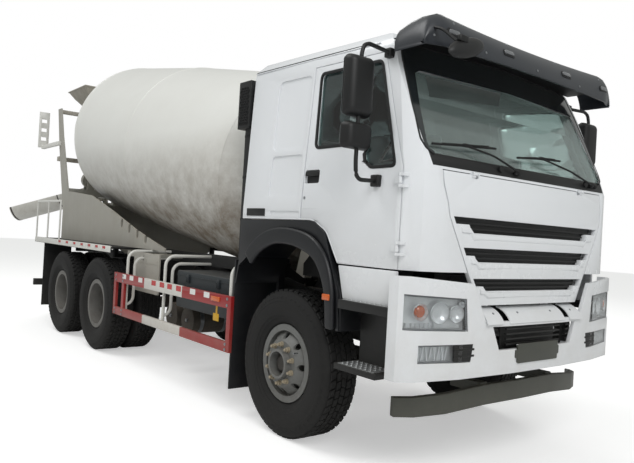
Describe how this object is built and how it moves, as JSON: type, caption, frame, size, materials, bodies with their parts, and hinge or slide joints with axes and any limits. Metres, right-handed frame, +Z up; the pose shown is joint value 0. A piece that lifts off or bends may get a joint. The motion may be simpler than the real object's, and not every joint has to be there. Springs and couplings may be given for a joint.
{
  "type": "concrete mixer truck",
  "caption": "Three-axle concrete mixer truck with a tilting cab, opening doors and front panel, steered front wheels, a turning drum and a swinging discharge chute.",
  "frame": {"origin": "on the ground at mid-length of the whole truck, on its centre plane", "axes": "+X towards the cab's front, +Y to the driver's left, +Z up"},
  "size_m": [9.744, 2.975, 3.8886],
  "materials": {
    "chassis_paint": "satin dark grey paint",
    "axle_iron": "dusty dark iron",
    "cab_white": "gloss white paint",
    "body_white": "white paint with dust",
    "guard_red": "red paint with white and red tape",
    "black_plastic": "matte black",
    "seat_fabric": "dark cloth",
    "glass": "tinted",
    "lamp_clear": "clear lens",
    "lamp_red": "red lenses on a bar",
    "underrun_grey": "dark olive grey paint",
    "tread_aluminium": "dull aluminium",
    "drum_grey": "light warm grey with cement dust",
    "tyre": "black with dust",
    "rim_front": "light grey wheel paint",
    "rim_rear": "grey wheel paint with dirt"
  },
  "bodies": {
    "chassis": {"frame": "chassis_paint", "subframe": "chassis_paint", "front_axle": "axle_iron", "drive_axles": "axle_iron", "leaf_springs": "chassis_paint", "engine": "axle_iron", "bumper": "cab_white", "front_lamps": "lamp_clear", "underrun_bar": "underrun_grey", "steps": "tread_aluminium", "step_fairings": "cab_white", "front_mudguards": "black_plastic", "rear_mudguards": "body_white", "rear_lamp_bar": "lamp_red", "side_guards": "guard_red", "guard_hoops": "body_white", "side_skirts": "body_white", "battery_box": "black_plastic", "air_tanks": "tread_aluminium", "fuel_tank": "tread_aluminium", "air_intake": "black_plastic", "drum_front_stand": "chassis_paint", "drum_rear_stand": "body_white", "hopper": "body_white", "discharge_funnel": "body_white", "ladder_rail": "body_white", "rear_lamp_stand": "body_white"},
    "cab": {"cab_shell": "cab_white", "windscreen": "glass", "wiper_cowl": "black_plastic", "visor": "black_plastic", "dashboard": "black_plastic", "seats": "seat_fabric"},
    "front_panel": {"front_panel": "cab_white", "grille_backing": "black_plastic"},
    "door_right": {"door_right": "cab_white", "door_glass_right": "glass", "door_fittings_right": "black_plastic"},
    "knuckle_right": {"knuckle_right": "axle_iron"},
    "wheel_front_right": {"tyre_front_right": "tyre", "rim_front_right": "rim_front"},
    "wheel_mid_right": {"tyre_mid_right": "tyre", "rim_mid_right": "rim_rear"},
    "wheel_rear_right": {"tyre_rear_right": "tyre", "rim_rear_right": "rim_rear"},
    "door_left": {"door_left": "cab_white", "door_glass_left": "glass", "door_fittings_left": "black_plastic"},
    "knuckle_left": {"knuckle_left": "axle_iron"},
    "wheel_front_left": {"tyre_front_left": "tyre", "rim_front_left": "rim_front"},
    "wheel_mid_left": {"tyre_mid_left": "tyre", "rim_mid_left": "rim_rear"},
    "wheel_rear_left": {"tyre_rear_left": "tyre", "rim_rear_left": "rim_rear"},
    "tie_rod": {"tie_rod": "axle_iron"},
    "drum": {"drum": "drum_grey"},
    "chute_swivel": {"chute_swivel": "body_white"},
    "chute": {"chute": "body_white"}
  },
  "joints": [
    {"name": "cab_tilt", "type": "hinge", "parent": "chassis", "child": "cab", "pos_m": [4.645, 0, 0.95], "axis": [0, 1, 0], "range_deg": [0, 50]},
    {"name": "door_right_hinge", "type": "hinge", "parent": "cab", "child": "door_right", "pos_m": [4.55, -1.186, 2], "axis": [0, 0, 1], "range_deg": [0, 75]},
    {"name": "door_left_hinge", "type": "hinge", "parent": "cab", "child": "door_left", "pos_m": [4.55, 1.186, 2], "axis": [0, 0, -1], "range_deg": [0, 75]},
    {"name": "front_panel_hinge", "type": "hinge", "parent": "cab", "child": "front_panel", "pos_m": [4.697, 0, 1.985], "axis": [0, -1, 0], "range_deg": [0, 70]},
    {"name": "steering_right", "type": "hinge", "parent": "chassis", "child": "knuckle_right", "pos_m": [3.395, -0.79, 0.556], "axis": [0, 0, 1], "range_deg": [-32, 32]},
    {"name": "steering_left", "type": "hinge", "parent": "chassis", "child": "knuckle_left", "pos_m": [3.395, 0.79, 0.556], "axis": [0, 0, 1], "range_deg": [-32, 32]},
    {"name": "tie_rod_pivot", "type": "hinge", "parent": "knuckle_right", "child": "tie_rod", "pos_m": [3.195, -0.79, 0.418], "axis": [0, 0, 1], "range_deg": [-32, 32]},
    {"name": "wheel_front_right_spin", "type": "hinge", "parent": "knuckle_right", "child": "wheel_front_right", "pos_m": [3.395, -1.011, 0.556], "axis": [0, 1, 0], "continuous": true},
    {"name": "wheel_front_left_spin", "type": "hinge", "parent": "knuckle_left", "child": "wheel_front_left", "pos_m": [3.395, 1.011, 0.556], "axis": [0, 1, 0], "continuous": true},
    {"name": "wheel_mid_right_spin", "type": "hinge", "parent": "chassis", "child": "wheel_mid_right", "pos_m": [-0.43, -0.915, 0.556], "axis": [0, 1, 0], "continuous": true},
    {"name": "wheel_mid_left_spin", "type": "hinge", "parent": "chassis", "child": "wheel_mid_left", "pos_m": [-0.43, 0.915, 0.556], "axis": [0, 1, 0], "continuous": true},
    {"name": "wheel_rear_right_spin", "type": "hinge", "parent": "chassis", "child": "wheel_rear_right", "pos_m": [-1.78, -0.915, 0.556], "axis": [0, 1, 0], "continuous": true},
    {"name": "wheel_rear_left_spin", "type": "hinge", "parent": "chassis", "child": "wheel_rear_left", "pos_m": [-1.78, 0.915, 0.556], "axis": [0, 1, 0], "continuous": true},
    {"name": "drum_spin", "type": "hinge", "parent": "chassis", "child": "drum", "pos_m": [2.445, 0, 2.06], "axis": [-0.9854, 0, 0.1702], "continuous": true},
    {"name": "chute_turn", "type": "hinge", "parent": "chassis", "child": "chute_swivel", "pos_m": [-3.585, 0, 1.87], "axis": [0, 0, 1], "range_deg": [-135, 44]},
    {"name": "chute_tilt", "type": "hinge", "parent": "chute_swivel", "child": "chute", "pos_m": [-3.62705, -0.04279, 1.925], "axis": [-0.7132, 0.7009, 0], "range_deg": [-12, 15]}
  ],
  "couplings": [
    {"joint": "steering_left", "follows": "steering_right", "ratio": 1},
    {"joint": "tie_rod_pivot", "follows": "steering_right", "ratio": -1}
  ]
}
